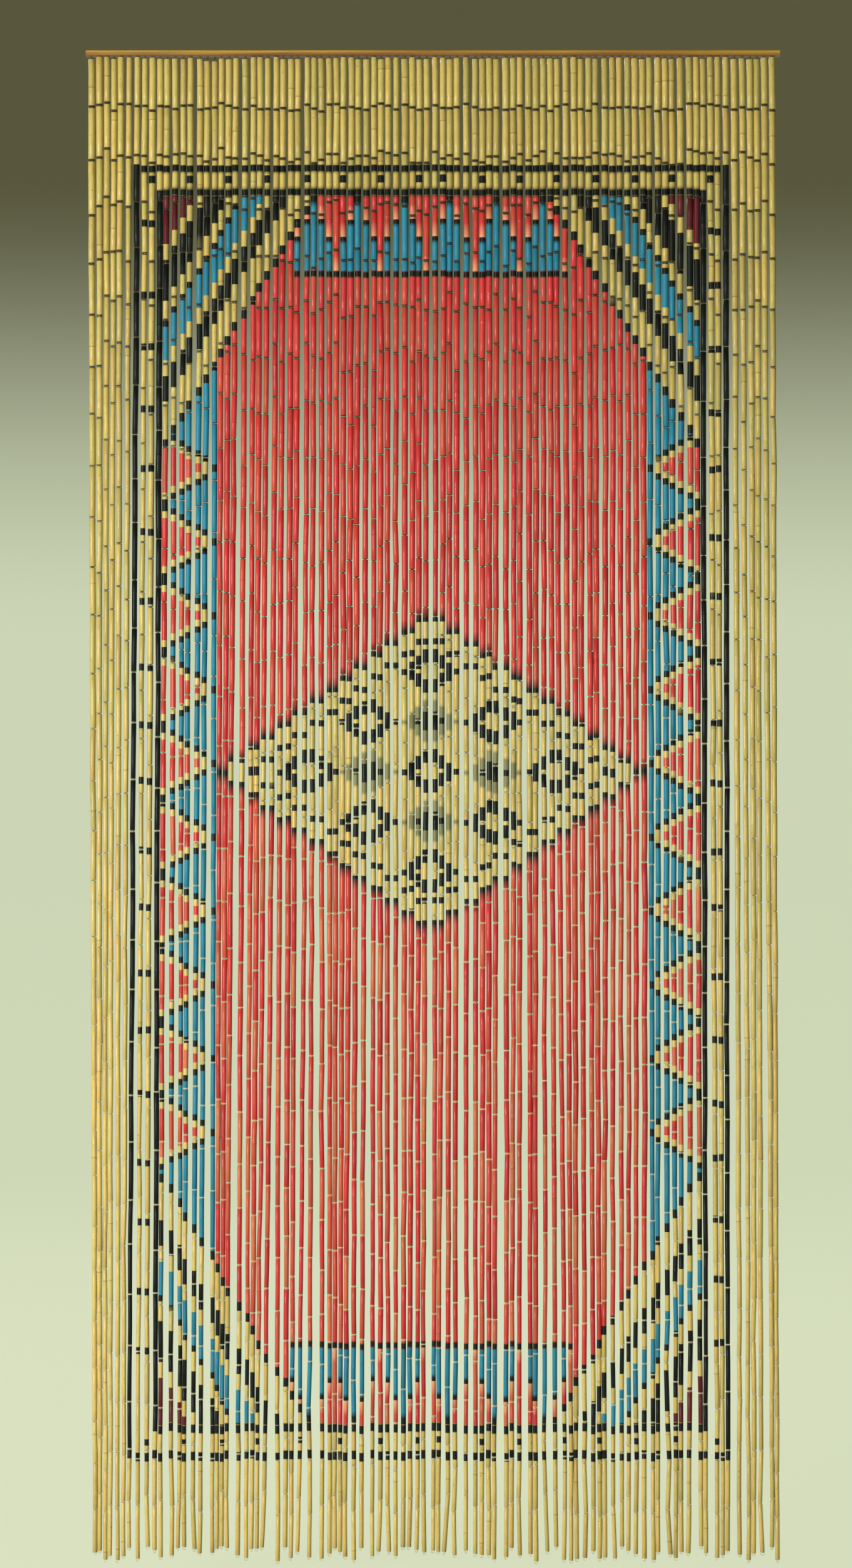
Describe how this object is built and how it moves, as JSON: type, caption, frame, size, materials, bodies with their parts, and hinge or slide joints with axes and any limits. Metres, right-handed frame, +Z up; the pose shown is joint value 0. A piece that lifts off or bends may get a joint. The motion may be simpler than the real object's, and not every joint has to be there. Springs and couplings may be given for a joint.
{
  "type": "bamboo bead curtain on a wooden rail",
  "caption": "Doorway string curtain: strands of painted bamboo tube beads joined by wire links, hanging side by side from a plain wooden rail.",
  "frame": {"origin": "centre of the rail's flat top face", "axes": "+X along the rail to the right as seen from the painted side, -Y out of the painted side, +Z up"},
  "size_m": [0.914, 0.018, 1.99],
  "materials": {
    "rail_wood": "stained softwood, satin",
    "bamboo": "painted and lacquered bamboo, semi-gloss",
    "link_wire": "thin galvanised wire"
  },
  "bodies": {
    "root": {"rail": "rail_wood", "strands": "bamboo"}
  },
  "joints": []
}
